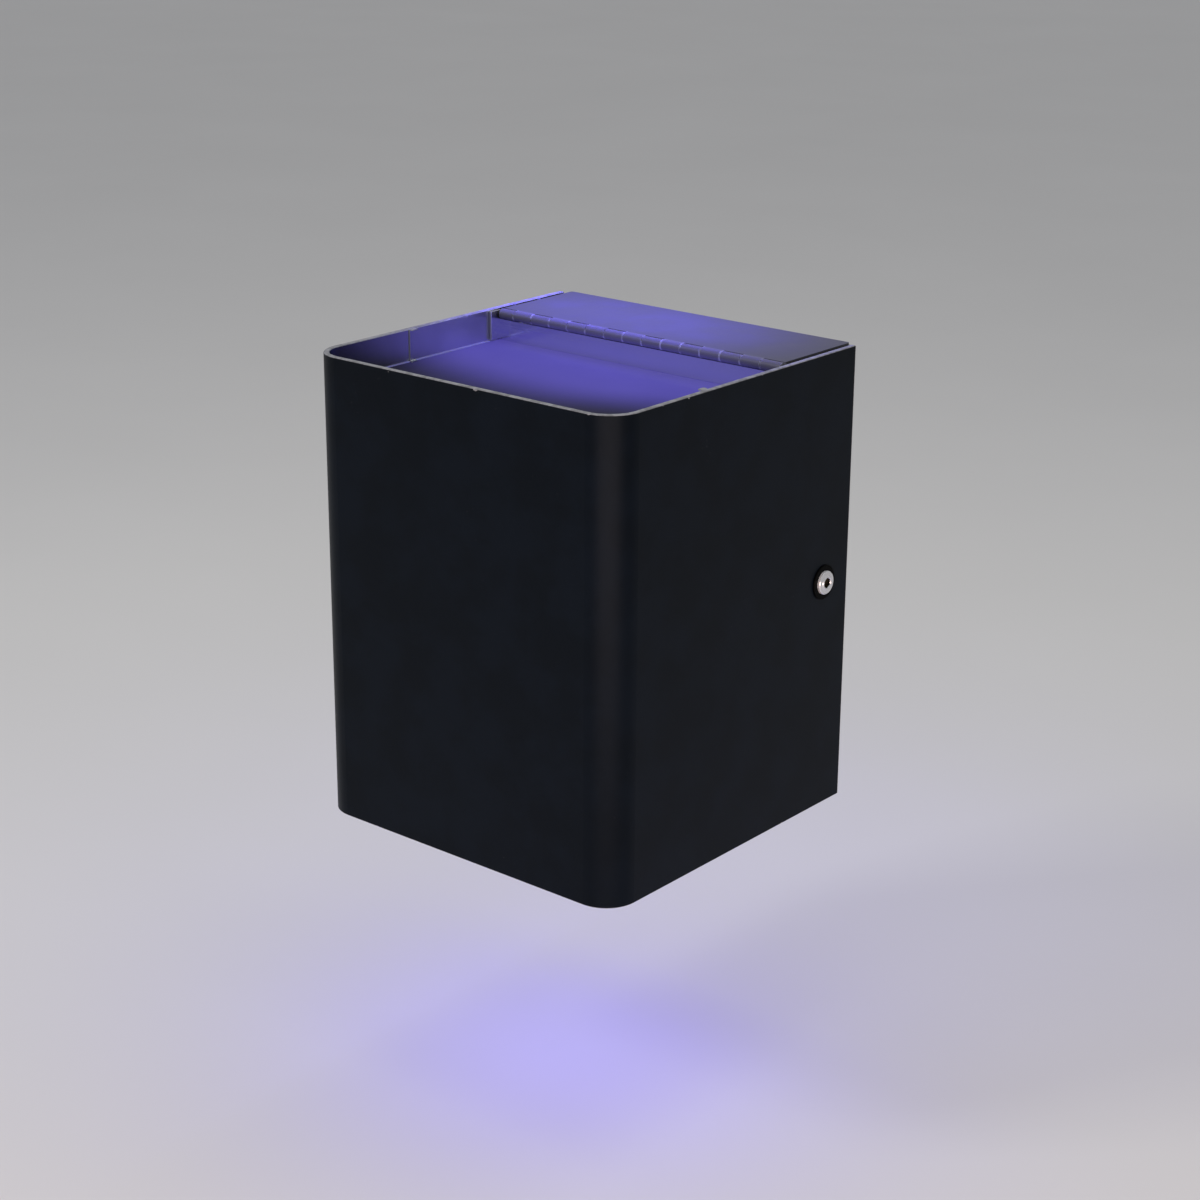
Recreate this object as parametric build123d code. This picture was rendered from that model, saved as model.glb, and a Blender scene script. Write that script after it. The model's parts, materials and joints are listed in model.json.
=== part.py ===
"""Wall-hung ultraviolet sterilising lamp unit: a slide-off steel cover over a back box.

Millimetres. The origin is the centre of the back box's rear face, which lies on the wall.
+Z is up, +Y points into the wall, and +X is to the right of someone who faces the unit.
"""
from build123d import *
import os

os.makedirs("parts", exist_ok=True)

# Cover: a steel sheet folded into a U, open above, below and towards the wall
COVER_WIDTH = 200.0
COVER_DEPTH = 194.0
COVER_HEIGHT = 250.0
COVER_SHEET = 3.0
COVER_CORNER = 18.0
WALL_GAP = 4.0
RIM_BREAK = 0.4

# Back box
SHEET = 1.5
BOX_HALF_WIDTH = 96.9
BOX_BACK_TOP = 123.6
BOX_SIDE_TOP = 110.0
BOX_BOTTOM = -124.0
LIP_WIDTH = 12.0
EAR_REACH = 7.5
LIP_TOP = 90.0
FOLD = 2.0
WALL_HOLE_RADIUS = 2.75
WALL_HOLE_X = 70.0
WALL_HOLE_Z = 85.0
CABLE_X = -40.0
CABLE_Z = -60.0
CABLE_HOLE_RADIUS = 8.0
CABLE_BORE_RADIUS = 5.0

# Continuous hinge along the lid's front edge
HINGE_PITCH = 12.7
HINGE_HALF_LENGTH = 94.0
HINGE_FULL_KNUCKLES = 14
LEAF = 1.2
PIN_RADIUS = 1.55
KNUCKLE_BORE = 1.6
KNUCKLE_RADIUS = KNUCKLE_BORE + LEAF
KNUCKLE_GAP = 0.3
KNUCKLE_CLEARANCE = 0.2
SCALLOP = 1.5
HINGE_Y = -59.0
HINGE_Z = COVER_HEIGHT / 2 - KNUCKLE_RADIUS
LEAF_BOTTOM = 93.0
LID_BACK = -0.5

# Side screws, M8 with low heads and a 5 mm hexagon
SCREW_Y = -25.5
SCREW_Z = 2.5
SCREW_RADIUS = 4.0
SCREW_LENGTH = 13.3
HEAD_RADIUS = 6.3
HEAD_HEIGHT = 2.1
HEX_FLATS = 5.0
WASHER_RADIUS = 9.4
WASHER = 0.8
SLOT_HALF_WIDTH = 5.5
NOTCH_HALF_HEIGHT = 12.0

# Windows in the two ends of the cover
WINDOW_TOP = 107.5
LOWER_WINDOW_TOP = -103.5
WINDOW = 4.0
GASKET = 1.5
GASKET_WIDTH = 8.0
GASKET_LIP = 0.5
WINDOW_PLAY = 0.8
FRAME_SHEET = 1.2
FRAME_LEDGE = 10.0
FRAME_DEPTH = 12.0
WINDOW_BACK = -61.5
WINDOW_LAP = 2.4
CLIP_SHEET = 0.6
CLIP_WIDTH = 4.0
CLIP_FOOT = 2.4
CLIP_TAB = 2.6
CLIP_Y = -126.5

# Lamps: twin-tube, with a two-pin plug-in base
LAMP_Y = -125.0
LAMP_Z = 70.0
TUBE_RADIUS = 6.2
TUBE_WALL = 0.9
TUBE_SPREAD = 7.75
TUBE_END = -70.5
LAMP_FACE = 44.0
CAP_LENGTH = 24.0
POST_LENGTH = 22.0
PIN_SPREAD = 11.5
TRAY_SHEET = 1.0
TRAY_Z = 57.0
TRAY_HALF_LENGTH = 85.0
HOLDER_BACK = 69.0

# Wiring
WIRE_RADIUS = 1.1
WIRE_STEP = 3.4
WIRE_BEND = 8.0
WIRE_X = 60.0
WIRE_Z = 66.0
WIRE_Y = -20.0
BALLAST_ENDS = (-46.0, 38.0)
TERMINAL_X = (-85.0, -65.0)
TERMINAL_STUD_Z = 20.5
EARTH_X = -70.0
EARTH_Z = -48.0

# Worked out from the dimensions above
cover_half = COVER_WIDTH / 2
cover_front = -WALL_GAP - COVER_DEPTH
half_height = COVER_HEIGHT / 2
inner_half = cover_half - COVER_SHEET
inner_front = cover_front + COVER_SHEET
inner_corner = COVER_CORNER - COVER_SHEET
box_inner = BOX_HALF_WIDTH - SHEET
leaf_front = HINGE_Y + KNUCKLE_BORE
panel_front = leaf_front - SHEET
panel_half = inner_half - 0.3
panel_top = HINGE_Z - KNUCKLE_RADIUS - 0.5


def block(x, y, z):
    """A box between two limits on each axis."""
    limits = (x, y, z)
    centre = [(low + high) / 2 for low, high in limits]
    return Pos(*centre) * Box(*[high - low for low, high in limits])


def rod(radius, start, end):
    """A round bar from one point to another."""
    run = Vector(*end) - Vector(*start)
    place = Plane(origin=start, z_dir=run).location
    return place * Cylinder(radius, run.length, align=(Align.CENTER, Align.CENTER, Align.MIN))


def ring(outer, inner, start, end):
    """A round tube from one point to another."""
    return rod(outer, start, end) - rod(inner, start, end)


def hexagon(flats, start, end):
    """A hexagonal bar from one point to another."""
    run = Vector(*end) - Vector(*start)
    face = Plane(origin=start, z_dir=run) * RegularPolygon(flats / 2, 6, major_radius=False)
    return extrude(face, amount=run.length)


def bay(half_width, front, back, radius, z):
    """A slab whose two front corners are rounded to the cover's curve."""
    outline = Pos(0, (front + back) / 2) * Rectangle(2 * half_width, back - front)
    outline = fillet(outline.vertices().sort_by(Axis.Y)[:2], radius)
    return Pos(0, 0, z[0]) * extrude(outline, amount=z[1] - z[0])


def folded(points, thickness, half_length, bend):
    """A sheet folded along X: points are its centreline in Y and Z."""
    centreline = FilletPolyline(*points, radius=bend)
    section = Plane.YZ * trace(centreline, line_width=thickness)
    return extrude(section, amount=half_length, both=True)


def wire(points, radii):
    """A lead along straight runs joined by tangent arcs."""
    path = FilletPolyline(*points, radius=radii)
    section = Plane(origin=path @ 0, z_dir=path % 0) * Circle(WIRE_RADIUS)
    return sweep(section, path=path)


def lower(part):
    """The same piece turned to the bottom end."""
    return part.mirror(Plane.XY)


def left(part):
    """The same piece on the left side."""
    return part.mirror(Plane.YZ)


def group(parts):
    """Separate pieces that share one node."""
    return Compound(children=[solid for part in parts for solid in part.solids()])


def rivet(x, z, front, back):
    """A domed rivet through sheets that lie across Y."""
    shank = rod(1.55, (x, front, z), (x, back + 0.8, z))
    head = rod(3.0, (x, front - 1.2, z), (x, front, z))
    head = fillet(head.edges().sort_by(Axis.Y)[0], 1.0)
    tail = rod(2.3, (x, back, z), (x, back + 1.0, z))
    return shank + head + tail


def hinge_cells():
    """The stretches of the barrel along X, from the cut knuckle at the left end."""
    start = HINGE_HALF_LENGTH - HINGE_FULL_KNUCKLES * HINGE_PITCH
    cells = [(-HINGE_HALF_LENGTH, start)]
    for index in range(HINGE_FULL_KNUCKLES):
        first = start + index * HINGE_PITCH
        cells.append((first, first + HINGE_PITCH))
    return cells


def knuckle(cell):
    """One rolled knuckle, a little shorter than its stretch."""
    first = (cell[0] + KNUCKLE_GAP / 2, HINGE_Y, HINGE_Z)
    last = (cell[1] - KNUCKLE_GAP / 2, HINGE_Y, HINGE_Z)
    return rod(KNUCKLE_RADIUS, first, last)


def hinge_bore():
    reach = HINGE_HALF_LENGTH + 1
    return rod(KNUCKLE_BORE, (-reach, HINGE_Y, HINGE_Z), (reach, HINGE_Y, HINGE_Z))


# ---------------------------------------------------------------- cover
def cover_shell():
    height = (-half_height, half_height)
    outer = bay(cover_half, cover_front, -WALL_GAP, COVER_CORNER, height)
    inner = bay(inner_half, inner_front, 0, inner_corner, (-half_height - 1, half_height + 1))
    shell = outer - inner
    rims = shell.edges().filter_by(lambda edge: abs(abs(edge.center().Z) - half_height) < 0.01)
    shell = chamfer(rims, RIM_BREAK)
    reach = cover_half + 1
    return shell - rod(SCREW_RADIUS + 0.4, (-reach, SCREW_Y, SCREW_Z), (reach, SCREW_Y, SCREW_Z))


def window(top):
    """A sheet that rests on its gasket and laps past the frame's rear bar, given its upper level."""
    gap = WINDOW_PLAY
    back = WINDOW_BACK + WINDOW_LAP
    return bay(inner_half - gap, inner_front + gap, back, inner_corner - gap, (top - WINDOW, top))


def gasket(top):
    """The strip under a window, with a lip that stands between the window's edge and the cover."""
    gap = WINDOW_PLAY
    low = top - WINDOW - GASKET
    lip = 0.1
    outer = bay(inner_half - lip, inner_front + lip, WINDOW_BACK, inner_corner - lip, (low, top + GASKET_LIP))
    seat = bay(inner_half - gap, inner_front + gap, 0, inner_corner - gap, (top - WINDOW, top + 1))
    inset = gap + GASKET_WIDTH
    through = (low - 1, top)
    hole = bay(inner_half - inset, inner_front + inset, WINDOW_BACK - GASKET_WIDTH, 6, through)
    return outer - seat - hole


def upper_gasket():
    """The upper strip, its lip notched for the two clips."""
    reach = CLIP_WIDTH / 2 + 0.4
    along = (CLIP_Y - reach, CLIP_Y + reach)
    notch = block((inner_half - WINDOW_PLAY, inner_half), along, (WINDOW_TOP - 1, WINDOW_TOP + 1))
    return gasket(WINDOW_TOP) - notch - left(notch)


def window_frame(window_top):
    """An angle section folded round the inside of the cover, with a bar across the back."""
    top = window_top - WINDOW - GASKET
    bottom = top - FRAME_DEPTH
    outer = bay(inner_half, inner_front, WINDOW_BACK, inner_corner, (bottom, top))
    leg = FRAME_SHEET
    under = (bottom - 1, top - FRAME_SHEET)
    pocket = bay(inner_half - leg, inner_front + leg, WINDOW_BACK - leg, inner_corner - leg, under)
    inset = FRAME_LEDGE
    hole = bay(inner_half - inset, inner_front + inset, WINDOW_BACK - inset, 5, (bottom - 1, top + 1))
    return outer - pocket - hole


def right_window_clip():
    """A spring strip on the cover's inner wall: its foot holds the window down, its tab is at the rim."""
    half = CLIP_SHEET / 2
    wall = inner_half - half
    rim = half_height - half
    points = [
        (inner_half - CLIP_FOOT, WINDOW_TOP + half),
        (wall, WINDOW_TOP + half),
        (wall, rim),
        (wall - CLIP_TAB, rim),
    ]
    section = Plane.XZ * trace(FilletPolyline(*points, radius=0.7), line_width=CLIP_SHEET)
    return Pos(0, CLIP_Y, 0) * extrude(section, amount=CLIP_WIDTH / 2, both=True)


def slot_nut():
    """A clamping nut whose long neck rides in the box's open slot and stops it turning."""
    face = box_inner - 0.1
    reach = BOX_HALF_WIDTH - 0.2
    width = SLOT_HALF_WIDTH - 0.3
    plate = block((face - 5.9, face), (-10, 10), (-9, 9))
    neck = block((face, reach), (-9, 0), (-width, width)) + rod(width, (face, 0, 0), (reach, 0, 0))
    nut = plate + neck - rod(SCREW_RADIUS + 0.05, (80, 0, 0), (100, 0, 0))
    return Pos(0, SCREW_Y, SCREW_Z) * nut


def cover_screw():
    """A low head with a turned land round its hexagon, and a plain shank."""
    shoulder = HEAD_HEIGHT - 0.5
    land = 4.2
    outline = Polyline(
        (0, 0),
        (HEAD_RADIUS, 0),
        (HEAD_RADIUS, shoulder - 0.4),
        (HEAD_RADIUS - 0.4, shoulder),
        (land, shoulder + 0.1),
        (land - 0.4, HEAD_HEIGHT),
        (0, HEAD_HEIGHT),
        close=True,
    )
    screw = revolve(Plane.XZ * make_face(outline), Axis.Z)
    screw += rod(SCREW_RADIUS, (0, 0, 0), (0, 0, -SCREW_LENGTH))
    screw = chamfer(screw.edges().sort_by(Axis.Z)[0], 0.8)
    screw -= hexagon(HEX_FLATS, (0, 0, HEAD_HEIGHT - 3), (0, 0, HEAD_HEIGHT + 1))
    socket_mouth = Pos(0, 0, HEAD_HEIGHT - 0.25) * Cone(2.6, 3.1, 0.5)
    return Pos(cover_half + WASHER, SCREW_Y, SCREW_Z) * Rot(0, 90, 0) * (screw - socket_mouth)


def screw_washer():
    ends = [(x, SCREW_Y, SCREW_Z) for x in (cover_half, cover_half + WASHER)]
    washer = ring(WASHER_RADIUS, SCREW_RADIUS + 0.2, *ends)
    return chamfer(washer.edges().filter_by(GeomType.CIRCLE).group_by(Axis.X)[-1], 0.3)


# ---------------------------------------------------------------- back box
def back_box():
    """Back, two sides, a vented floor and the front lips, folded from one sheet."""
    side = (box_inner, BOX_HALF_WIDTH)
    back = block((-BOX_HALF_WIDTH, BOX_HALF_WIDTH), (-SHEET, 0), (BOX_BOTTOM, BOX_BACK_TOP))
    floor = block((-BOX_HALF_WIDTH, BOX_HALF_WIDTH), (leaf_front, 0), (BOX_BOTTOM, BOX_BOTTOM + SHEET))
    wall = block(side, (leaf_front, 0), (BOX_BOTTOM, BOX_SIDE_TOP))
    lip = block((box_inner - LIP_WIDTH, box_inner), (leaf_front, leaf_front + SHEET), (BOX_BOTTOM, LIP_TOP))
    lip -= block((0, 100), (-100, 0), (SCREW_Z - NOTCH_HALF_HEIGHT, SCREW_Z + NOTCH_HALF_HEIGHT))
    wall -= block(side, (-80, SCREW_Y), (SCREW_Z - SLOT_HALF_WIDTH, SCREW_Z + SLOT_HALF_WIDTH))
    wall -= rod(SLOT_HALF_WIDTH, (90, SCREW_Y, SCREW_Z), (99, SCREW_Y, SCREW_Z))
    flank = wall + lip
    box = back + floor + flank + left(flank)
    folds = box.edges().filter_by(Axis.Z)
    folds = folds.filter_by(lambda edge: abs(abs(edge.center().X) - BOX_HALF_WIDTH) < 0.01)
    folds = folds.filter_by(lambda edge: edge.center().Y > -0.01 or edge.center().Y < leaf_front + 0.01)
    box = fillet(folds, FOLD)
    for x in (-WALL_HOLE_X, WALL_HOLE_X):
        for z in (-WALL_HOLE_Z, WALL_HOLE_Z):
            box -= rod(WALL_HOLE_RADIUS, (x, -SHEET - 1, z), (x, 1, z))
    box -= rod(CABLE_HOLE_RADIUS, (CABLE_X, -SHEET - 1, CABLE_Z), (CABLE_X, 1, CABLE_Z))
    for x, z in panel_screw_places():
        box -= rod(2.1, (x, leaf_front - 1, z), (x, leaf_front + SHEET + 1, z))
    for index in range(-3, 4):
        slot = Pos(index * 22, -30) * SlotOverall(36, 3, rotation=90)
        box -= Pos(0, 0, BOX_BOTTOM - 1) * extrude(slot, amount=SHEET + 2)
    return box


def panel_screw_places():
    x = box_inner - LIP_WIDTH / 2
    return [(side * x, z) for side in (-1, 1) for z in (-98, -30, 30, 80)]


def hinge_rivet_places():
    return [(x, LEAF_BOTTOM + 6) for x in (-80, -40, 0, 40, 80)]


def tray_rivet_places():
    return [(x, z) for z in (-86, 86) for x in (-75, -25, 25, 75)]


def front_panel():
    """The panel that carries the lamps, with ears folded forward over the ends of the upper window."""
    across = (-panel_half, panel_half)
    plate = block(across, (panel_front, leaf_front), (BOX_BOTTOM, panel_top))
    ear_z = (WINDOW_TOP + 1, half_height - 1)
    ear = block((panel_half - SHEET, panel_half), (panel_front - EAR_REACH, leaf_front), ear_z)
    bend = [edge for edge in ear.edges().filter_by(Axis.Z) if edge.center().Y > leaf_front - 0.01]
    ear = fillet(max(bend, key=lambda edge: edge.center().X), SHEET - 0.1)
    panel = plate + ear + left(ear)
    notch_z = (SCREW_Z - NOTCH_HALF_HEIGHT, SCREW_Z + NOTCH_HALF_HEIGHT)
    notch = block((box_inner - LIP_WIDTH, 110), (-80, -50), notch_z)
    panel -= notch
    panel -= left(notch)
    for x, z in panel_screw_places():
        panel -= rod(2.1, (x, panel_front - 1, z), (x, leaf_front + 1, z))
    for x, z in hinge_rivet_places() + tray_rivet_places():
        panel -= rod(1.6, (x, panel_front - 1, z), (x, leaf_front + 1, z))
    for z in (-WIRE_Z - WIRE_STEP / 2, WIRE_Z + WIRE_STEP / 2):
        panel -= rod(5.5, (WIRE_X, panel_front - 1, z), (WIRE_X, leaf_front + 1, z))
    return panel


def panel_screws():
    screws = []
    for x, z in panel_screw_places():
        head = rod(4.0, (x, panel_front - 2.4, z), (x, panel_front, z))
        head = fillet(head.edges().sort_by(Axis.Y)[0], 1.4)
        head -= block((x - 3, x + 3), (panel_front - 3, panel_front - 1.4), (z - 0.5, z + 0.5))
        head -= block((x - 0.5, x + 0.5), (panel_front - 3, panel_front - 1.4), (z - 3, z + 3))
        screws.append(head + rod(2.0, (x, panel_front, z), (x, leaf_front + SHEET + 4.5, z)))
    return group(screws)


def panel_nuts():
    back = leaf_front + SHEET
    return group([ring(3.8, 2.05, (x, back, z), (x, back + 3, z)) for x, z in panel_screw_places()])


# ---------------------------------------------------------------- lid and hinge
def lid():
    """A flat lid whose slots are scalloped to the other leaf's knuckles."""
    across = (-HINGE_HALF_LENGTH, HINGE_HALF_LENGTH)
    plate = block(across, (HINGE_Y, LID_BACK), (half_height - LEAF, half_height))
    plate = fillet(plate.edges().filter_by(Axis.Z).group_by(Axis.Y)[-1], 1.5)
    cells = hinge_cells()
    for cell in cells[0::2]:
        ends = (cell[0] - KNUCKLE_GAP / 2, cell[1] + KNUCKLE_GAP / 2)
        axis = [(x, HINGE_Y, HINGE_Z) for x in ends]
        plate -= block(ends, (HINGE_Y - 1, HINGE_Y + SCALLOP), (HINGE_Z, half_height + 1))
        plate -= rod(KNUCKLE_RADIUS + KNUCKLE_CLEARANCE, *axis)
    for cell in cells[1::2]:
        plate += knuckle(cell)
    return plate - hinge_bore()


def fixed_leaf():
    across = (-HINGE_HALF_LENGTH, HINGE_HALF_LENGTH)
    leaf = block(across, (leaf_front, leaf_front + LEAF), (LEAF_BOTTOM, HINGE_Z))
    cells = hinge_cells()
    for cell in cells[1::2]:
        ends = (cell[0] - KNUCKLE_GAP / 2, cell[1] + KNUCKLE_GAP / 2)
        leaf -= block(ends, (leaf_front - 1, leaf_front + 3), (panel_top, HINGE_Z + 1))
    for cell in cells[0::2]:
        leaf += knuckle(cell)
    for x, z in hinge_rivet_places():
        leaf -= rod(1.6, (x, leaf_front - 1, z), (x, leaf_front + 3, z))
    return leaf - hinge_bore()


def hinge_pin():
    ends = [(side * HINGE_HALF_LENGTH, HINGE_Y, HINGE_Z) for side in (-1, 1)]
    return rod(PIN_RADIUS, *ends)


# ---------------------------------------------------------------- lamps
def upper_tray():
    """A folded reflector: a flange on the panel, a floor under the lamp and a raked front."""
    half = TRAY_SHEET / 2
    back = panel_front - half
    points = [(back, 92), (back, TRAY_Z - half), (-168, TRAY_Z - half), (-186, 90)]
    tray = folded(points, TRAY_SHEET, TRAY_HALF_LENGTH, 2)
    for x, z in tray_rivet_places():
        tray -= rod(1.6, (x, panel_front - 3, z), (x, panel_front + 1, z))
    hole_z = WIRE_Z + WIRE_STEP / 2
    tray -= rod(5.5, (WIRE_X, panel_front - 3, hole_z), (WIRE_X, panel_front + 1, hole_z))
    for x, y in holder_screw_places():
        tray -= rod(1.55, (x, y, TRAY_Z - 3), (x, y, TRAY_Z + 1))
    return tray - rod(1.6, (-40, LAMP_Y, TRAY_Z - 3), (-40, LAMP_Y, TRAY_Z + 1))


def tray_rivets():
    rivets = [rivet(x, z, panel_front - TRAY_SHEET, leaf_front) for x, z in tray_rivet_places()]
    stand = Rot(90, 0, 0) * rivet(0, 0, -0.6, TRAY_SHEET)
    clip_rivet = Pos(-40, LAMP_Y, TRAY_Z) * Rot(180, 0, 0) * stand
    return group(rivets + [clip_rivet, lower(clip_rivet)])


def hinge_rivets():
    return group([rivet(x, z, panel_front, leaf_front + LEAF) for x, z in hinge_rivet_places()])


def holder_screw_places():
    return [(57, LAMP_Y - 21), (57, LAMP_Y + 21)]


def upper_holder():
    """A socket block with a well for the lamp's post and two holes for its pins."""
    face = LAMP_FACE + 0.2
    span = (LAMP_Y - 17, LAMP_Y + 17)
    body = block((face, HOLDER_BACK), span, (TRAY_Z, 2 * LAMP_Z - TRAY_Z))
    body = fillet(body.edges().filter_by(Axis.X), 2)
    feet = block((50, 64), (LAMP_Y - 25, LAMP_Y + 25), (TRAY_Z, TRAY_Z + 3))
    well = block((face, HOLDER_BACK - 2), (LAMP_Y - 9.5, LAMP_Y + 9.5), (LAMP_Z - 7, LAMP_Z + 7))
    holder = body + feet - well
    for y in (LAMP_Y - PIN_SPREAD, LAMP_Y + PIN_SPREAD):
        holder -= rod(1.3, (face - 1, y, LAMP_Z), (face + 12, y, LAMP_Z))
    for x, y in holder_screw_places():
        holder -= rod(1.7, (x, y, TRAY_Z - 1), (x, y, TRAY_Z + 4))
    return holder


def upper_holder_screws():
    screws = []
    for x, y in holder_screw_places():
        head = rod(2.9, (x, y, TRAY_Z + 3), (x, y, TRAY_Z + 5))
        head = fillet(head.edges().sort_by(Axis.Z)[-1], 1.2)
        head -= block((x - 2, x + 2), (y - 0.4, y + 0.4), (TRAY_Z + 4, TRAY_Z + 6))
        screws.append(head + rod(1.5, (x, y, TRAY_Z - 5), (x, y, TRAY_Z + 3)))
    return screws


def upper_clip_spring():
    """A sprung cradle round the twin tubes."""
    foot = TRAY_Z + 0.3
    outline = [(-15.5, 79), (-13.6, 75), (-14.9, 66), (-14.9, foot)]
    outline += [(-y, z) for y, z in reversed(outline)]
    points = [(LAMP_Y + y, z) for y, z in outline]
    spring = Pos(-40, 0, 0) * folded(points, 0.6, 5, 1)
    return spring - rod(1.6, (-40, LAMP_Y, TRAY_Z - 1), (-40, LAMP_Y, TRAY_Z + 2))


def upper_glass():
    """Two tubes joined near their closed ends, open where the cap grips them."""
    start = LAMP_FACE - CAP_LENGTH
    glass = None
    for y in (LAMP_Y - TUBE_SPREAD, LAMP_Y + TUBE_SPREAD):
        tube = rod(TUBE_RADIUS, (start, y, LAMP_Z), (TUBE_END, y, LAMP_Z))
        tube = fillet(tube.edges().sort_by(Axis.X)[0], TUBE_RADIUS - 1.2)
        glass = tube if glass is None else glass + tube
    neck = TUBE_END + 9
    glass += rod(3.2, (neck, LAMP_Y - 4, LAMP_Z), (neck, LAMP_Y + 4, LAMP_Z))
    for y in (LAMP_Y - TUBE_SPREAD, LAMP_Y + TUBE_SPREAD):
        bore = rod(TUBE_RADIUS - TUBE_WALL, (start, y, LAMP_Z), (TUBE_END + 2.5, y, LAMP_Z))
        bore = fillet(bore.edges().sort_by(Axis.X)[0], TUBE_RADIUS - TUBE_WALL - 1.2)
        glass -= bore
    return glass


def upper_cap():
    start = LAMP_FACE - CAP_LENGTH
    cap = block((start, LAMP_FACE), (LAMP_Y - 16, LAMP_Y + 16), (LAMP_Z - 10, LAMP_Z + 10))
    cap = fillet(cap.edges().filter_by(Axis.X), 5)
    post_end = LAMP_FACE + POST_LENGTH
    post = block((LAMP_FACE, post_end), (LAMP_Y - 9, LAMP_Y + 9), (LAMP_Z - 6.5, LAMP_Z + 6.5))
    return cap + fillet(post.edges().filter_by(Axis.X), 1.5)


def upper_pins():
    spots = (LAMP_Y - PIN_SPREAD, LAMP_Y + PIN_SPREAD)
    return [rod(1.0, (LAMP_FACE, y, LAMP_Z), (LAMP_FACE + 10, y, LAMP_Z)) for y in spots]


# ---------------------------------------------------------------- electrics
def upper_wires():
    """Two leads side by side from the lampholder, through the panel, to the ballast."""
    leads = []
    for step in (0, WIRE_STEP):
        back = WIRE_Y + step
        high = WIRE_Z + step
        start = (WIRE_X, LAMP_Y + 17, high)
        points = [start, (WIRE_X, back, high), (WIRE_X, back, 10), (BALLAST_ENDS[1], back, 10)]
        leads.append(wire(points, [WIRE_BEND + step, WIRE_BEND]))
    return leads


def upper_wire_grommet():
    z = WIRE_Z + WIRE_STEP / 2
    front = panel_front - TRAY_SHEET
    collar = rod(7, (WIRE_X, front - 1.5, z), (WIRE_X, front, z))
    collar += rod(5.4, (WIRE_X, front, z), (WIRE_X, leaf_front, z))
    collar += rod(7, (WIRE_X, leaf_front, z), (WIRE_X, leaf_front + 1.5, z))
    return collar - rod(3.4, (WIRE_X, front - 3, z), (WIRE_X, leaf_front + 3, z))


def stud_places():
    """Weld studs on the back: ballast, terminal block, earth."""
    block_x = sum(TERMINAL_X) / 2
    return [
        (BALLAST_ENDS[0] - 5, 0),
        (BALLAST_ENDS[1] + 5, 0),
        (block_x, -TERMINAL_STUD_Z),
        (block_x, TERMINAL_STUD_Z),
        (EARTH_X, EARTH_Z),
    ]


def weld_studs():
    return group([rod(2.0, (x, -12, z), (x, -SHEET, z)) for x, z in stud_places()])


def stud_nuts():
    nuts = []
    for x, z in stud_places():
        foot = -SHEET - (0.8 if z == EARTH_Z else 1.6)
        nut = hexagon(7, (x, foot - 3.2, z), (x, foot, z))
        nuts.append(nut - rod(2.05, (x, foot - 4, z), (x, foot + 1, z)))
    return group(nuts)


def ballast():
    ends = BALLAST_ENDS
    case = block(ends, (-29.5, -SHEET), (-19, 19))
    case = fillet(case.edges().filter_by(Axis.X).group_by(Axis.Y)[0], 2)
    feet = block((ends[0] - 10, ends[1] + 10), (-SHEET - 1.6, -SHEET), (-7, 7))
    body = case + feet
    for x, z in stud_places()[:2]:
        body -= rod(2.3, (x, -10, z), (x, 0, z))
    return body


def terminal_block():
    """A moulded strip with two rows of three clamps."""
    body = block(TERMINAL_X, (-19, -SHEET), (-16, 16))
    reach = TERMINAL_STUD_Z + 5
    feet = block((TERMINAL_X[0] + 5, TERMINAL_X[1] - 5), (-SHEET - 1.6, -SHEET), (-reach, reach))
    strip = body + feet
    for x, z in terminal_places():
        strip -= rod(2.6, (x, -20, z), (x, -14, z))
    for x, z in stud_places()[2:4]:
        strip -= rod(2.3, (x, -10, z), (x, 0, z))
    for z in (-5.5, 5.5):
        strip -= block((-76, -74), (-20, -15), (z - 0.8, z + 0.8))
    return strip


def terminal_places():
    x = sum(TERMINAL_X) / 2
    return [(x + side * 5, z) for side in (-1, 1) for z in (-11, 0, 11)]


def terminal_screws():
    screws = []
    for x, z in terminal_places():
        screw = rod(2.3, (x, -17, z), (x, -14, z))
        screws.append(screw - block((x - 3, x + 3), (-18, -16.2), (z - 0.35, z + 0.35)))
    return group(screws)


def supply_wires():
    ends = (TERMINAL_X[1], BALLAST_ENDS[0])
    return group([rod(WIRE_RADIUS, (ends[0], -12, z), (ends[1], -12, z)) for z in (-11, 11)])


def earth_wire():
    x = EARTH_X
    points = [(x, -11, -16), (x, -11, -25), (x, -3.9, -31), (x, -3.9, -37)]
    return wire(points, [4, 4])


def earth_lug():
    x = EARTH_X
    face = -SHEET
    lug = rod(4.5, (x, face - 0.8, EARTH_Z), (x, face, EARTH_Z))
    lug += block((x - 1.9, x + 1.9), (face - 0.8, face), (EARTH_Z, -37))
    lug += rod(1.9, (x, -3.9, -42), (x, -3.9, -37))
    return lug - rod(2.15, (x, -4, EARTH_Z), (x, 0, EARTH_Z))


def cable_grommet():
    x, z = CABLE_X, CABLE_Z
    collar = rod(10.5, (x, -SHEET - 2.5, z), (x, -SHEET, z))
    collar += rod(CABLE_HOLE_RADIUS - 0.1, (x, -SHEET, z), (x, -0.2, z))
    return collar - rod(CABLE_BORE_RADIUS, (x, -8, z), (x, 1, z))


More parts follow.
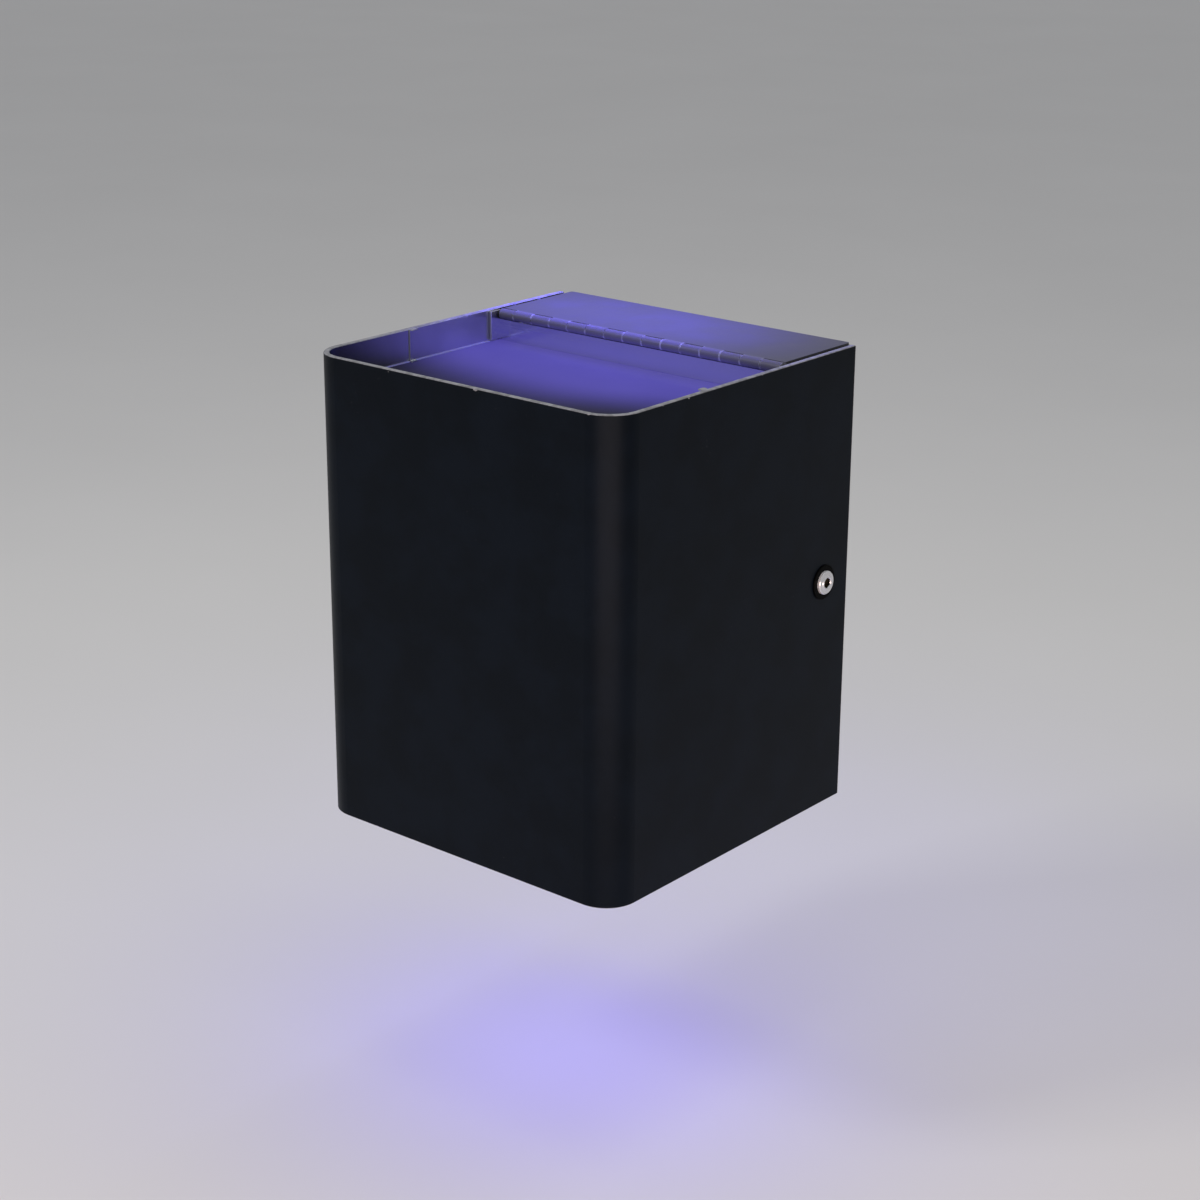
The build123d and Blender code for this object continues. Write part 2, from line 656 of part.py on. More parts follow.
nodes = {
    "cover_shell": cover_shell(),
    "upper_window": window(WINDOW_TOP),
    "lower_window": window(LOWER_WINDOW_TOP),
    "upper_window_gasket": upper_gasket(),
    "lower_window_gasket": gasket(LOWER_WINDOW_TOP),
    "upper_window_frame": window_frame(WINDOW_TOP),
    "lower_window_frame": window_frame(LOWER_WINDOW_TOP),
    "window_clips": group([right_window_clip(), left(right_window_clip())]),
    "right_slot_nut": slot_nut(),
    "left_slot_nut": left(slot_nut()),
    "right_screw_washer": screw_washer(),
    "left_screw_washer": left(screw_washer()),
    "right_cover_screw": cover_screw(),
    "left_cover_screw": left(cover_screw()),
    "back_box": back_box(),
    "front_panel": front_panel(),
    "panel_screws": panel_screws(),
    "panel_nuts": panel_nuts(),
    "lid": lid(),
    "hinge_fixed_leaf": fixed_leaf(),
    "hinge_pin": hinge_pin(),
    "hinge_rivets": hinge_rivets(),
    "upper_reflector": upper_tray(),
    "lower_reflector": lower(upper_tray()),
    "reflector_rivets": tray_rivets(),
    "upper_lampholder": upper_holder(),
    "lower_lampholder": lower(upper_holder()),
    "lampholder_screws": group(upper_holder_screws() + [lower(s) for s in upper_holder_screws()]),
    "upper_lamp_clip": upper_clip_spring(),
    "lower_lamp_clip": lower(upper_clip_spring()),
    "upper_lamp_glass": upper_glass(),
    "lower_lamp_glass": lower(upper_glass()),
    "upper_lamp_cap": upper_cap(),
    "lower_lamp_cap": lower(upper_cap()),
    "upper_lamp_pins": group(upper_pins()),
    "lower_lamp_pins": group([lower(pin) for pin in upper_pins()]),
    "upper_lamp_wires": group(upper_wires()),
    "lower_lamp_wires": group([lower(lead) for lead in upper_wires()]),
    "upper_wire_grommet": upper_wire_grommet(),
    "lower_wire_grommet": lower(upper_wire_grommet()),
    "ballast": ballast(),
    "terminal_block": terminal_block(),
    "terminal_screws": terminal_screws(),
    "weld_studs": weld_studs(),
    "stud_nuts": stud_nuts(),
    "supply_wires": supply_wires(),
    "earth_wire": earth_wire(),
    "earth_lug": earth_lug(),
    "cable_grommet": cable_grommet(),
}

for name, shape in nodes.items():
    export_step(shape, f"parts/{name}.step")
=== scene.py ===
"""Looks for the wall-hung ultraviolet lamp unit: materials, small pieces, light and camera.

Metres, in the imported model's frame: the wall is the plane y = 0, +Z is up, the front faces -Y.
"""
import json
import math

import bmesh
import bpy
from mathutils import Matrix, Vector


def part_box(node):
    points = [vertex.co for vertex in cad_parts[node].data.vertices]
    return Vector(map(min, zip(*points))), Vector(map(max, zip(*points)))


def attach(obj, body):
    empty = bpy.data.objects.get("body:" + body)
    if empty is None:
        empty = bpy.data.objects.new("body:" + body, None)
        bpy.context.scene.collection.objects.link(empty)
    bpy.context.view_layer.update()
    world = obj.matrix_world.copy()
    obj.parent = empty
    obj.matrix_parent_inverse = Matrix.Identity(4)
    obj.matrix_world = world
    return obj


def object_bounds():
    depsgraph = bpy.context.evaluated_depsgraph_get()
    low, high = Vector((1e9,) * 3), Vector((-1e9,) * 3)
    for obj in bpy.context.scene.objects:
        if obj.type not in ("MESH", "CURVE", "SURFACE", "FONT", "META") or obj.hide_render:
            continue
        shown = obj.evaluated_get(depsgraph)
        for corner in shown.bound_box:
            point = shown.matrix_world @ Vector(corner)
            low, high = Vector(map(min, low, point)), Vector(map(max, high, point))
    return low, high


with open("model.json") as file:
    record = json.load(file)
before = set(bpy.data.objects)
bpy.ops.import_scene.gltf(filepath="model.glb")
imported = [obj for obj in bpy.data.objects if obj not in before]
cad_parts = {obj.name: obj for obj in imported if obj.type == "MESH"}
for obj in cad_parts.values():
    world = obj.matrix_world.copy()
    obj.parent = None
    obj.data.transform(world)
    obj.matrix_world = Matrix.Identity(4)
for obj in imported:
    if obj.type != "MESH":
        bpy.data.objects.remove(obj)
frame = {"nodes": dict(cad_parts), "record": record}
cad_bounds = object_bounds()

MM = 0.001
FLOOR_DROP = 0.15

# The lamps' violet light, and the dust on the coats
UV = (0.245, 0.205, 1.0)
DUST = (0.11, 0.11, 0.12)

# Sizes within the pieces, which their boxes don't give
COVER_CORNER = 18 * MM
COVER_SHEET = 3 * MM
HINGE_PITCH = 12.7 * MM


# ---------------------------------------------------------------- node helpers
def shade(tint, factor):
    """A colour made darker or lighter."""
    return tuple(part * factor for part in tint)


class Paint:
    """A material's node tree, with short calls for the nodes that the materials share."""

    def __init__(self, name, **settings):
        """Starts a material. The settings are the shader's inputs, with _ for a space in their names."""
        self.material = bpy.data.materials.new(name)
        self.material.use_nodes = True
        self.tree = self.material.node_tree
        self.shader = self.tree.nodes["Principled BSDF"]
        self.place = self.add("ShaderNodeTexCoord").outputs["Object"]
        for socket, value in settings.items():
            self.shader.inputs[socket.replace("_", " ")].default_value = value

    def add(self, kind, **settings):
        """A new node with its properties set."""
        node = self.tree.nodes.new(kind)
        for key, value in settings.items():
            setattr(node, key, value)
        return node

    def link(self, source, target):
        """Feeds one socket from another."""
        self.tree.links.new(source, target)

    def set(self, socket, source):
        """Feeds one of the shader's inputs."""
        self.link(source, self.shader.inputs[socket])

    def glow(self, strength):
        """Gives the surface a little of the lamps' violet light as emission: the tubes' own light, or a
        painted glow on a part that is no lamp.
        """
        self.shader.inputs["Emission Color"].default_value = (*UV, 1)
        self.shader.inputs["Emission Strength"].default_value = strength

    def noise(self, scale, detail=3.0, roughness=0.55, stretch=(1, 1, 1)):
        """Cloudy noise from 0 to 1, in the part's frame. A stretch under 1 draws it out along an axis."""
        spread = self.add("ShaderNodeMapping")
        spread.inputs["Scale"].default_value = stretch
        self.link(self.place, spread.inputs["Vector"])
        node = self.add("ShaderNodeTexNoise")
        node.inputs["Scale"].default_value = scale
        node.inputs["Detail"].default_value = detail
        node.inputs["Roughness"].default_value = roughness
        self.link(spread.outputs["Vector"], node.inputs["Vector"])
        return node.outputs["Fac"]

    def remap(self, source, low, high, to_low=0.0, to_high=1.0):
        """A smooth step: to_low at low, to_high at high, and level beyond them."""
        node = self.add("ShaderNodeMapRange", interpolation_type="SMOOTHSTEP")
        limits = {"From Min": low, "From Max": high, "To Min": to_low, "To Max": to_high}
        for socket, value in limits.items():
            node.inputs[socket].default_value = value
        self.link(source, node.inputs["Value"])
        return node.outputs["Result"]

    def math(self, operation, first, second=None):
        """One operation on one or two values, each a number or a socket."""
        node = self.add("ShaderNodeMath", operation=operation)
        for index, value in enumerate((first, second)):
            if value is None:
                continue
            if isinstance(value, (int, float)):
                node.inputs[index].default_value = value
            else:
                self.link(value, node.inputs[index])
        return node.outputs["Value"]

    def mix(self, factor, first, second):
        """A colour between two colours, each a plain colour or a socket."""
        node = self.add("ShaderNodeMix", data_type="RGBA")
        for socket, value in ((node.inputs[6], first), (node.inputs[7], second)):
            if isinstance(value, tuple):
                socket.default_value = (*value, 1)
            else:
                self.link(value, socket)
        self.link(factor, node.inputs[0])
        return node.outputs[2]

    def axis(self, letter):
        """The position along one axis of the part's frame."""
        node = self.add("ShaderNodeSeparateXYZ")
        self.link(self.place, node.inputs["Vector"])
        return node.outputs[letter]

    def facing(self, letter):
        """The surface's normal along one axis."""
        node = self.add("ShaderNodeSeparateXYZ")
        self.link(self.add("ShaderNodeNewGeometry").outputs["True Normal"], node.inputs["Vector"])
        return node.outputs[letter]

    def around(self, name):
        """The distance, in Y and Z, from the axis of a round node that lies along X."""
        low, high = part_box(name)
        squares = []
        for index, letter in ((1, "Y"), (2, "Z")):
            offset = self.math("SUBTRACT", self.axis(letter), (low[index] + high[index]) / 2)
            squares.append(self.math("POWER", offset, 2.0))
        return self.math("SQRT", self.math("ADD", *squares))

    def bump(self, height, depth, strength=1.0, under=None):
        """A normal roughened by a height, over another bump if one is given."""
        node = self.add("ShaderNodeBump")
        node.inputs["Distance"].default_value = depth
        node.inputs["Strength"].default_value = strength
        self.link(height, node.inputs["Height"])
        if under is not None:
            self.link(under, node.inputs["Normal"])
        return node.outputs["Normal"]

    def specks(self, scale, size):
        """Small scattered dots: 1 inside a dot, 0 outside."""
        node = self.add("ShaderNodeTexVoronoi")
        node.inputs["Scale"].default_value = scale
        self.link(self.place, node.inputs["Vector"])
        return self.remap(node.outputs["Distance"], size, size * 0.5)


# ---------------------------------------------------------------- materials
def coat(name, tint, rough, level, cloudy=0.22, dusty=0.6):
    """Fine-textured powder coat: orange peel, cloudy gloss and dust. Returns the paint and its colour."""
    grain = 0.06 * MM
    paint = Paint(name, Specular_IOR_Level=level)
    cloud = paint.noise(38, 4)
    peel = paint.noise(2600, 3, 0.6)
    ripple = paint.noise(420, 2)
    dust = paint.math("MULTIPLY", paint.specks(260, 0.07), paint.remap(paint.noise(24), 0.52, 0.7))
    base = paint.mix(paint.remap(cloud, 0.35, 0.65), shade(tint, 1 - cloudy), shade(tint, 1 + cloudy))
    colour = paint.mix(paint.math("MULTIPLY", dust, dusty), base, DUST)
    paint.set("Base Color", colour)
    paint.set("Roughness", paint.remap(cloud, 0.3, 0.7, rough - 0.05, rough + 0.06))
    first = paint.bump(ripple, grain * 0.8, 0.5)
    paint.set("Normal", paint.bump(peel, grain, 0.8, first))
    return paint, colour


def inside_cover(paint):
    """1 on the inner face of the cover and 0 outside, from the distance to the rounded outline's core."""
    low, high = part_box("cover_shell")
    middle = COVER_CORNER - COVER_SHEET / 2
    blend = 0.3 * MM
    beside = paint.math("SUBTRACT", paint.math("ABSOLUTE", paint.axis("X")), high[0] - COVER_CORNER)
    before = paint.math("SUBTRACT", low[1] + COVER_CORNER, paint.axis("Y"))
    squares = [paint.math("POWER", paint.math("MAXIMUM", gap, 0.0), 2.0) for gap in (beside, before)]
    reach = paint.math("SQRT", paint.math("ADD", *squares))
    return paint.remap(reach, middle + blend, middle - blend)


def worn_rims_and_painted_back_highlight(paint):
    """1 on the cover's worn rims and in the rims' chips, 1 on the back edges as a painted highlight, and 0
    elsewhere.
    """
    back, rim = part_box("cover_shell")[1][1:]
    chips = paint.remap(paint.noise(170, 2), 0.66, 0.72, 0.0, 1.1 * MM)
    height = paint.math("ADD", paint.math("ABSOLUTE", paint.axis("Z")), chips)
    rims = paint.remap(height, rim - 0.45 * MM, rim - 0.20 * MM)
    # Painted highlight: the back edges get the worn rims' lighter colour.
    painted_back_highlight = paint.remap(paint.axis("Y"), back - 0.40 * MM, back - 0.15 * MM)
    return paint.math("MAXIMUM", rims, painted_back_highlight)


def cover_finish(name, bright_sides=False):
    """Black outside and satin metal inside, the inside darkened towards the front by painted shade, with the
    rims worn and chipped and a painted highlight on the back edges.

    With bright_sides, the surfaces that face forwards and backwards are bare cut metal.
    """
    rough = 0.42
    paint, colour = coat(name, (0.0018, 0.0032, 0.0066), rough, 0.10)
    paint.shader.inputs["Specular Tint"].default_value = (0.72, 0.86, 1.0, 1)
    inside = inside_cover(paint)
    cloud = paint.remap(paint.noise(60, 3), 0.3, 0.7)
    satin = paint.mix(cloud, (0.70, 0.70, 0.75), (0.80, 0.80, 0.85))
    # Painted shade: the inside darkens towards the cover's front, over 110 mm.
    inner_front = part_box("cover_shell")[0][1] + COVER_SHEET
    painted_shade_fade = paint.remap(paint.axis("Y"), inner_front, inner_front + 110 * MM)
    liner = paint.mix(painted_shade_fade, (0.10, 0.10, 0.11), satin)
    edge = worn_rims_and_painted_back_highlight(paint)
    # The rims' wear colour, also the colour of the painted highlight on the back edges.
    worn_and_highlight_tone = paint.mix(paint.remap(paint.noise(300, 3), 0.35, 0.65), (0.18, 0.18, 0.19), (0.29, 0.29, 0.31))
    if bright_sides:
        sides = paint.remap(paint.math("ABSOLUTE", paint.facing("Y")), 0.6, 0.9)
        worn_and_highlight_tone = paint.mix(sides, worn_and_highlight_tone, (0.42, 0.42, 0.45))
        edge = paint.math("MAXIMUM", edge, sides)
    paint.set("Base Color", paint.mix(edge, paint.mix(inside, colour, liner), worn_and_highlight_tone))
    bare = paint.math("MULTIPLY", inside, paint.math("SUBTRACT", 1.0, edge))
    paint.set("Metallic", bare)
    paint.set("Roughness", paint.remap(bare, 0.0, 1.0, rough, 0.26))
    return paint.material


def lid_coat():
    """Grey coat over the lid and its hinge, with painted violet light on the barrel and the coat worn off
    beside each knuckle joint.
    """
    paint, colour = coat("lid_coat", (0.066, 0.066, 0.073), 0.42, 0.20, cloudy=0.07, dusty=1.0)
    barrel = paint.remap(paint.around("hinge_pin"), 3.4 * MM, 3.0 * MM)
    along = paint.math("SUBTRACT", paint.axis("X"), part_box("lid")[1][0])
    joint = paint.remap(paint.math("PINGPONG", along, HINGE_PITCH / 2), 0.65 * MM, 0.35 * MM)
    worn = paint.math("MULTIPLY", joint, paint.remap(paint.noise(260, 2), 0.35, 0.62))
    # Painted violet light: the barrel's colour is lighter and violet, as if lit by the lamps' glow.
    rolled = paint.mix(worn, (0.098, 0.094, 0.118), (0.30, 0.30, 0.33))
    paint.set("Base Color", paint.mix(barrel, colour, rolled))
    return paint.material


def inner_steel():
    """Grey coat of the back box and the windows' frames."""
    return coat("inner_steel", (0.050, 0.052, 0.060), 0.45, 0.5)[0].material


def metal(name, tint, rough, brush=(1, 1, 1)):
    """Bare metal with a directional grain and cloudy gloss."""
    paint = Paint(name, Metallic=1.0)
    grain = paint.noise(900, 3, 0.6, brush)
    cloud = paint.noise(60, 3)
    paint.set("Base Color", paint.mix(paint.remap(cloud, 0.3, 0.7), shade(tint, 0.82), tint))
    paint.set("Roughness", paint.remap(grain, 0.3, 0.7, rough - 0.06, rough + 0.08))
    paint.set("Normal", paint.bump(grain, 0.02 * MM, 0.6))
    return paint


def turned_steel():
    """Stainless side screws: lathe rings on the face, a pale matt side and painted shade in the hexagon
    socket.
    """
    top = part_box("right_cover_screw")[1][0]
    hexagon = 3.0 * MM
    blend = 0.1 * MM
    ring_pitch = 0.28 * MM
    paint = metal("stainless", (0.80, 0.80, 0.79), 0.24)
    radius = paint.around("right_cover_screw")
    rings = paint.math("SINE", paint.math("MULTIPLY", radius, 2 * math.pi / ring_pitch))
    paint.set("Normal", paint.bump(rings, 0.004 * MM, 0.7))
    below = paint.remap(paint.math("ABSOLUTE", paint.axis("X")), top - 0.3 * MM, top - 0.7 * MM)
    # Painted shade: the inside of the hexagon socket is darkened.
    socket = paint.math("MULTIPLY", below, paint.remap(radius, hexagon + blend, hexagon - blend))
    face = paint.mix(socket, (0.84, 0.83, 0.85), (0.16, 0.15, 0.12))
    side = paint.remap(paint.math("ABSOLUTE", paint.facing("X")), 0.75, 0.45)
    beyond = hexagon + 0.5 * MM
    outer = paint.math("MULTIPLY", side, paint.remap(radius, beyond - blend, beyond + blend))
    paint.set("Base Color", paint.mix(outer, face, (0.95, 0.95, 0.97)))
    paint.set("Metallic", paint.remap(outer, 0.0, 1.0, 1.0, 0.6))
    paint.set("Roughness", paint.remap(outer, 0.0, 1.0, 0.25, 0.50))
    return paint.material


def panel_aluminium():
    """Bright rolled sheet, with matt cut edges at the front of the panel's two ears."""
    paint = metal("reflector_aluminium", (0.84, 0.85, 0.88), 0.16, (0.03, 1, 1))
    low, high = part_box("front_panel")
    ear = high[0] - 1.5 * MM
    beside = paint.remap(paint.math("ABSOLUTE", paint.axis("X")), ear - 0.2 * MM, ear)
    before = paint.remap(paint.axis("Y"), low[1] + 0.4 * MM, low[1] + 0.2 * MM)
    cut = paint.math("MULTIPLY", beside, before)
    paint.set("Base Color", paint.mix(cut, (0.80, 0.81, 0.84), (0.34, 0.34, 0.38)))
    paint.set("Metallic", paint.math("SUBTRACT", 1.0, cut))
    return paint.material


def plastic(name, tint, rough, coat_weight=0.0, level=0.5):
    """Moulded or painted surface with a fine grain and slightly cloudy gloss."""
    paint = Paint(name, Coat_Weight=coat_weight, Coat_Roughness=0.2, Specular_IOR_Level=level)
    grain = paint.noise(1500, 3)
    cloud = paint.noise(45, 3)
    paint.set("Base Color", paint.mix(paint.remap(cloud, 0.3, 0.7), shade(tint, 0.88), tint))
    paint.set("Roughness", paint.remap(cloud, 0.3, 0.7, rough - 0.04, rough + 0.06))
    paint.set("Normal", paint.bump(grain, 0.03 * MM, 0.5))
    return paint.material


def earth_lead():
    """Green insulation with a yellow stripe along it."""
    paint = Paint("earth_lead", Roughness=0.42)
    low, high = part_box("earth_wire")
    middle = (low[0] + high[0]) / 2
    stripe = paint.remap(paint.axis("X"), middle, middle + 0.1 * MM)
    paint.set("Base Color", paint.mix(stripe, (0.10, 0.36, 0.05), (0.85, 0.72, 0.04)))
    paint.set("Normal", paint.bump(paint.noise(900), 0.02 * MM, 0.5))
    return paint.material


def frosted_window():
    """Sand-blasted sheet with a painted glow from the lamps behind it: even over the lamp, with painted shade
    by the cover's front and front corners.
    """
    low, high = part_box("upper_window")
    painted_corner_shade = 0.21
    paint = Paint("frosted_window", Roughness=0.6, Specular_IOR_Level=0.06, Emission_Strength=1.0)
    # Painted shade: the glow dims towards the cover's front, and more towards its front corners.
    brightest = -0.22 * high[0]
    side = paint.math("DIVIDE", paint.math("SUBTRACT", paint.axis("X"), brightest), high[0])
    depth = paint.math("DIVIDE", paint.math("SUBTRACT", paint.axis("Y"), low[1]), high[1] - low[1])
    corners = paint.math("MULTIPLY", paint.math("MULTIPLY", side, side), painted_corner_shade)
    lit = paint.remap(paint.math("SUBTRACT", depth, corners), 0.24, 0.68)
    frost = paint.noise(1400, 3, 0.7)
    cloud = paint.remap(paint.noise(16, 3), 0.2, 0.8)
    paint.set("Base Color", paint.mix(cloud, (0.012, 0.012, 0.018), (0.018, 0.017, 0.026)))
    # Painted glow: emission that stands in for the lamps' light shining through the sheet.
    painted_glow = paint.mix(cloud, (0.066, 0.053, 0.318), (0.072, 0.058, 0.340))
    paint.set("Emission Color", paint.mix(lit, (0.003, 0.003, 0.010), painted_glow))
    paint.set("Normal", paint.bump(frost, 0.04 * MM, 0.7))
    return paint.material


def lamp_glass():
    """Clear tube glass, faintly violet. The discharge inside it has the same look."""
    paint = Paint("lamp_glass", Roughness=0.06, IOR=1.46, Transmission_Weight=0.9)
    cloud = paint.noise(70, 3)
    paint.set("Base Color", paint.mix(cloud, (0.86, 0.84, 1.0), (0.96, 0.95, 1.0)))
    paint.glow(0.35)
    return paint.material


def gasket_rubber():
    """Milky silicone with a painted violet glow for the windows' light on it."""
    paint = Paint("gasket_rubber", Roughness=0.5, Subsurface_Weight=0.2)
    paint.set("Base Color", paint.mix(paint.noise(80), (0.20, 0.19, 0.24), (0.27, 0.26, 0.32)))
    # Painted glow: a little emission stands in for the violet light falling on the gasket.
    paint.glow(0.10)
    paint.set("Normal", paint.bump(paint.noise(1800), 0.03 * MM, 0.5))
    return paint.material


def make_materials():
    """Every material, under the name of its slot."""
    return {
        "black_coat": cover_finish("black_coat"),
        "lid_coat": lid_coat(),
        "clip_coat": cover_finish("clip_coat", bright_sides=True),
        "inner_steel": inner_steel(),
        "frosted_window": frosted_window(),
        "gasket_rubber": gasket_rubber(),
        "zinc_steel": metal("zinc_steel", (0.60, 0.61, 0.63), 0.30).material,
        "stainless": turned_steel(),
        "black_nylon": plastic("black_nylon", (0.001, 0.001, 0.001), 0.40, level=0.03),
        "rivet_aluminium": metal("rivet_aluminium", (0.66, 0.67, 0.69), 0.36).material,
        "reflector_aluminium": panel_aluminium(),
        "spring_steel": metal("spring_steel", (0.55, 0.55, 0.57), 0.26, (1, 0.05, 1)).material,
        "white_plastic": plastic("white_plastic", (0.78, 0.78, 0.75), 0.35, 0.2),
        "lamp_glass": lamp_glass(),
        "brass": metal("brass", (0.78, 0.58, 0.26), 0.28).material,
        "white_lead": plastic("white_lead", (0.74, 0.73, 0.70), 0.48),
        "earth_lead": earth_lead(),
        "black_rubber": plastic("black_rubber", (0.014, 0.014, 0.015), 0.62),
        "ballast_case": plastic("ballast_case", (0.70, 0.70, 0.68), 0.40, 0.3),
        "terminal_plastic": plastic("terminal_plastic", (0.66, 0.65, 0.60), 0.50),
    }


def dress_nodes(materials):
    """Gives every CAD node the material of its slot."""
    for entry in frame["record"]["subparts"]:
        node = frame["nodes"][entry["node"]]
        node.data.materials.clear()
        node.data.materials.append(materials[entry["material_slot"]])


# ---------------------------------------------------------------- small pieces
def keep(piece, body, slot, materials):
    """Puts a new piece in the scene, on its body and with its finish."""
    bpy.context.scene.collection.objects.link(piece)
    piece.data.materials.append(materials[slot])
    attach(piece, body)


def thread(name, points, radius):
    """A round wire or column along a smooth curve."""
    curve = bpy.data.curves.new(name, "CURVE")
    curve.dimensions = "3D"
    curve.bevel_depth = radius
    curve.bevel_resolution = 5
    curve.use_fill_caps = True
    spline = curve.splines.new("NURBS")
    spline.points.add(len(points) - 1)
    for knot, point in zip(spline.points, points):
        knot.co = (*point, 1)
    spline.order_u = 3
    spline.use_endpoint_u = True
    spline.resolution_u = 6
    return bpy.data.objects.new(name, curve)


def slabs(name, boxes, bevel):
    """Several blocks with softened edges as one mesh."""
    shape = bmesh.new()
    for low, high in boxes:
        corners = bmesh.ops.create_cube(shape, size=1)["verts"]
        for vertex in corners:
            for axis in range(3):
                vertex.co[axis] = high[axis] if vertex.co[axis] > 0 else low[axis]
    mesh = bpy.data.meshes.new(name)
    shape.to_mesh(mesh)
    shape.free()
    piece = bpy.data.objects.new(name, mesh)
    edge = piece.modifiers.new("edges", "BEVEL")
    edge.width = bevel
    edge.segments = 3
    return piece


def electrode_path(forward, side, level):
    """The points of a coil that lies across one tube: six turns, 1 mm wide and 7 mm long."""
    length = 7 * MM
    radius = 0.5 * MM
    turns = 6
    steps = turns * 8
    points = []
    for step in range(steps + 1):
        angle = 2 * math.pi * turns * step / steps
        run = (step / steps - 0.5) * length
        points.append((forward + radius * math.cos(angle), side + run, level + radius * math.sin(angle)))
    return points


def make_lamp_insides(end, materials):
    """The violet discharge in the twin tubes, and the two coiled electrodes by the cap."""
    low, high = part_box(f"{end}_lamp_glass")
    body = f"{end}_lamp"
    middle = (low[1] + high[1]) / 2
    level = (low[2] + high[2]) / 2
    spread = (high[1] - low[1]) / 4 + 0.8 * MM
    margin = 9 * MM
    start = high[0] - margin
    neck = low[0] + margin
    sides = (middle - spread, middle + spread)
    stations = (start, (start + neck) / 2, neck)
    there = [(x, sides[0], level) for x in stations]
    back = [(x, sides[1], level) for x in reversed(stations)]
    keep(thread(f"{end}_discharge", there + back, 2.0 * MM), body, "lamp_glass", materials)
    for index, side in enumerate(sides):
        coil = electrode_path(start + 3 * MM, side, level)
        keep(thread(f"{end}_electrode_{index + 1}", coil, 0.15 * MM), body, "zinc_steel", materials)


def make_cap_grips(end, materials):
    """Raised finger grips on the two flat sides of a lamp's cap."""
    low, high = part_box(f"{end}_lamp_cap")
    level = (low[2] + high[2]) / 2
    width = 1.4 * MM
    pitch = 3 * MM
    half_height = 4 * MM
    boxes = []
    for index in range(6):
        x = low[0] + 4 * MM + index * pitch
        for face, out in ((low[1], -1), (high[1], 1)):
            near, far = sorted((face - out * 0.4 * MM, face + out * 0.5 * MM))
            boxes.append(((x, near, level - half_height), (x + width, far, level + half_height)))
    keep(slabs(f"{end}_cap_grips", boxes, 0.3 * MM), f"{end}_lamp", "white_plastic", materials)


def make_ballast_trim(materials):
    """Raised seams on the front of the ballast's case: two across it and two along it."""
    low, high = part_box("ballast")
    half = 0.5 * MM
    outer = low[1] - 0.35 * MM
    inner = low[1] + half
    across = 19 * MM
    along = 24 * MM
    edge = 5 * MM
    seams = []
    for x in (low[0] + across, high[0] - across):
        seams.append(((x - half, outer, low[2] + 3 * half), (x + half, inner, high[2] - 3 * half)))
    ends = (low[0] + along, high[0] - along)
    for z in (low[2] + edge, high[2] - edge):
        seams.append(((ends[0], outer, z - half), (ends[1], inner, z + half)))
    keep(slabs("ballast_seams", seams, 0.25 * MM), "back_box", "ballast_case", materials)


# ---------------------------------------------------------------- light, floor and camera
def area_light(name, place, aim, size, power, colour=(1, 1, 1), spread=180):
    """A rectangular lamp at one place, turned towards another."""
    data = bpy.data.lights.new(name, "AREA")
    data.shape = "RECTANGLE"
    data.size, data.size_y = size
    data.energy = power
    data.color = colour
    data.spread = math.radians(spread)
    lamp = bpy.data.objects.new(name, data)
    lamp.location = place
    lamp.rotation_euler = (Vector(aim) - Vector(place)).to_track_quat("-Z", "Y").to_euler()
    bpy.context.scene.collection.objects.link(lamp)
    return lamp


def make_floor():
    """A wide pale floor a little below the unit."""
    mesh = bpy.data.meshes.new("floor")
    reach = 30.0
    level = cad_bounds[0][2] - FLOOR_DROP
    signs = ((-1, -1), (1, -1), (1, 1), (-1, 1))
    corners = [(across * reach, along * reach, level) for across, along in signs]
    mesh.from_pydata(corners, [], [(0, 1, 2, 3)])
    floor = bpy.data.objects.new("floor", mesh)
    bpy.context.scene.collection.objects.link(floor)
    paint = Paint("floor", Roughness=0.8, Specular_IOR_Level=0.1)
    paint.set("Base Color", paint.mix(paint.noise(3), (0.70, 0.69, 0.68), (0.74, 0.73, 0.72)))
    floor.data.materials.append(paint.material)


def make_glow(name, side, power):
    """The violet light that one window sends out, over the part of it that is lit evenly."""
    low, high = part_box("upper_window")
    front = (2 * low[1] + high[1]) / 3
    size = (high[0] * 1.5, high[1] - front)
    place = (0, (front + high[1]) / 2, side * (high[2] + 1 * MM))
    glow = area_light(name, place, (0, place[1], side), size, power, UV)
    glow.visible_camera = False
    glow.visible_glossy = False


def make_sky():
    """An even grey surround."""
    world = bpy.data.worlds.new("studio")
    world.use_nodes = True
    sky = world.node_tree.nodes["Background"]
    sky.inputs["Color"].default_value = (0.60, 0.61, 0.63, 1)
    sky.inputs["Strength"].default_value = 0.70
    bpy.context.scene.world = world


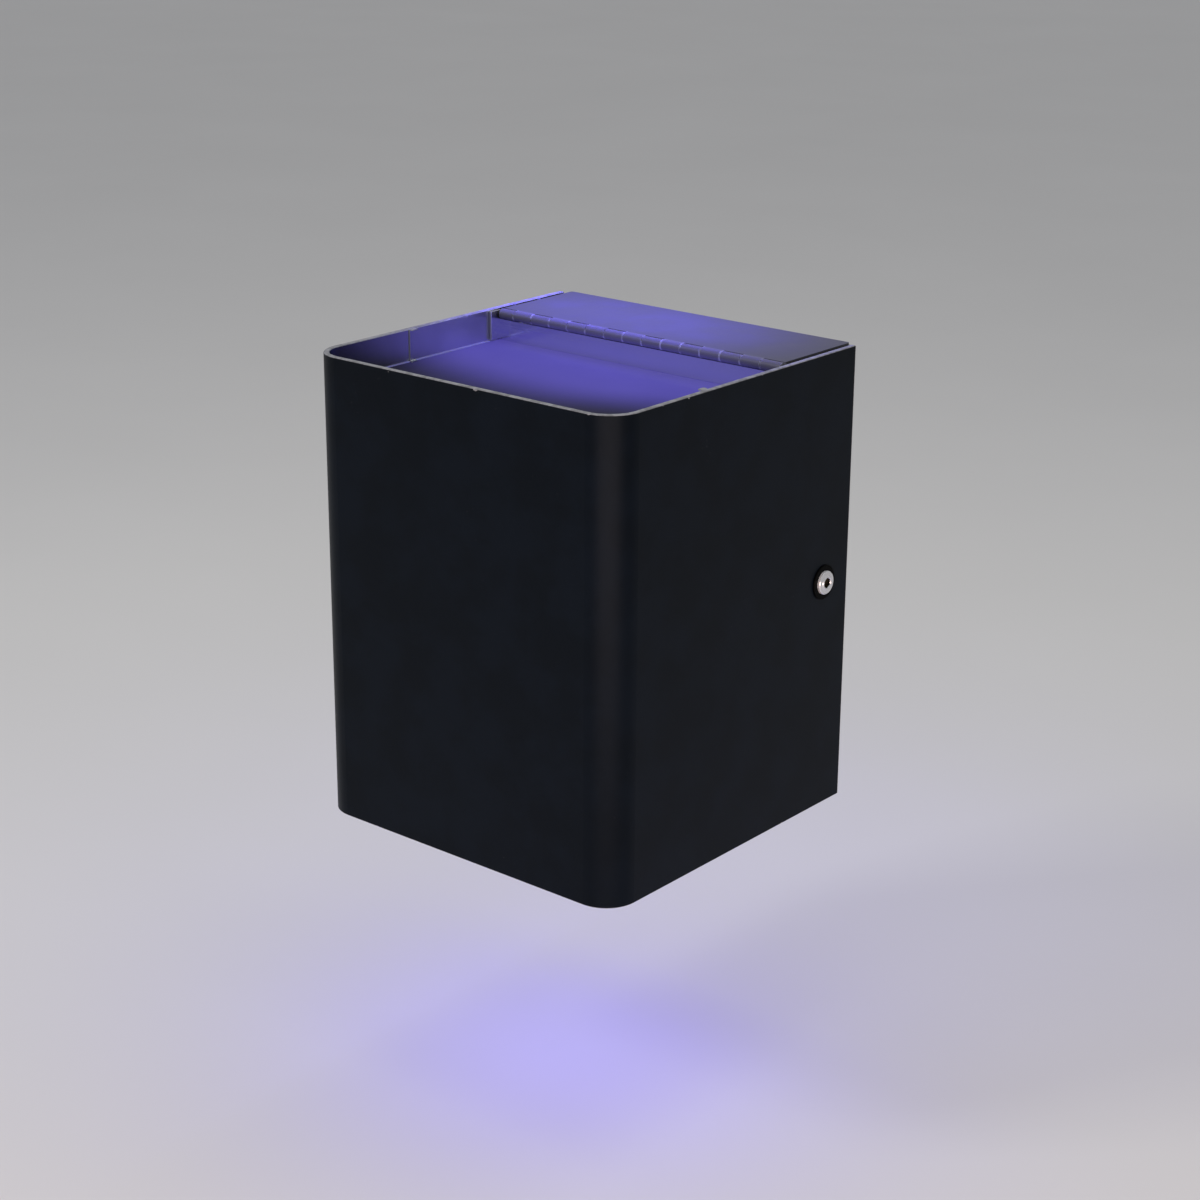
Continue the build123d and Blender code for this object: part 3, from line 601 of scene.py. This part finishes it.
def make_lid_glow():
    """Violet light that falls back on the lid, as from a wall above the unit."""
    low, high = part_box("lid")
    x = low[0] * 0.35
    y = (low[1] + high[1]) / 2
    place = (x, y, high[2] + 75 * MM)
    glow = area_light("lid_glow", place, (x, y, high[2]), (0.17, 0.06), 0.37, (0.14, 0.11, 1.0), 120)
    glow.visible_camera = False
    glow.visible_glossy = False


def make_lights():
    """The windows' violet glow, soft light from above and from the left, and a warm edge light."""
    make_glow("upper_glow", 1, 0.07)
    make_glow("lower_glow", -1, 0.30)
    centre = (0, -0.1, 0)
    area_light("overhead", (0.1, 0.1, 1.4), centre, (1.2, 1.2), 7)
    area_light("key", (-0.9, -1.5, 1.3), centre, (0.5, 0.5), 9)
    low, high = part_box("cover_shell")
    front_corner = (high[0], low[1] + 8 * MM, 0)
    warm = (1.0, 0.73, 0.63)
    strip = area_light("corner_strip", (0.56, -0.76, -0.09), front_corner, (1.0, 0.18), 3.9, warm)
    strip.visible_camera = False
    make_lid_glow()


def make_camera():
    """The viewpoint: right of the front and a little above, with the object left of centre."""
    azimuth = math.radians(39.72)
    elevation = math.radians(19.29)
    roll = math.radians(0.363)
    distance = 1.2752
    aim = Vector((0.0114, -0.1011, -0.0077))
    flat = math.cos(elevation)
    away = Vector((math.sin(azimuth) * flat, -math.cos(azimuth) * flat, math.sin(elevation)))
    data = bpy.data.cameras.new("camera")
    data.sensor_width = 36
    data.lens = 73.16
    camera = bpy.data.objects.new("camera", data)
    camera.location = aim + distance * away
    camera.rotation_euler = (-away).to_track_quat("-Z", "Y").to_euler()
    camera.rotation_euler.rotate_axis("Z", roll)
    bpy.context.scene.collection.objects.link(camera)
    bpy.context.scene.camera = camera


def set_colour():
    """Plain colours, without a film look."""
    view = bpy.context.scene.view_settings
    view.view_transform = "Standard"
    view.look = "None"


materials = make_materials()
dress_nodes(materials)
for end in ("upper", "lower"):
    make_lamp_insides(end, materials)
    make_cap_grips(end, materials)
make_ballast_trim(materials)
make_floor()
make_sky()
make_lights()
make_camera()
set_colour()
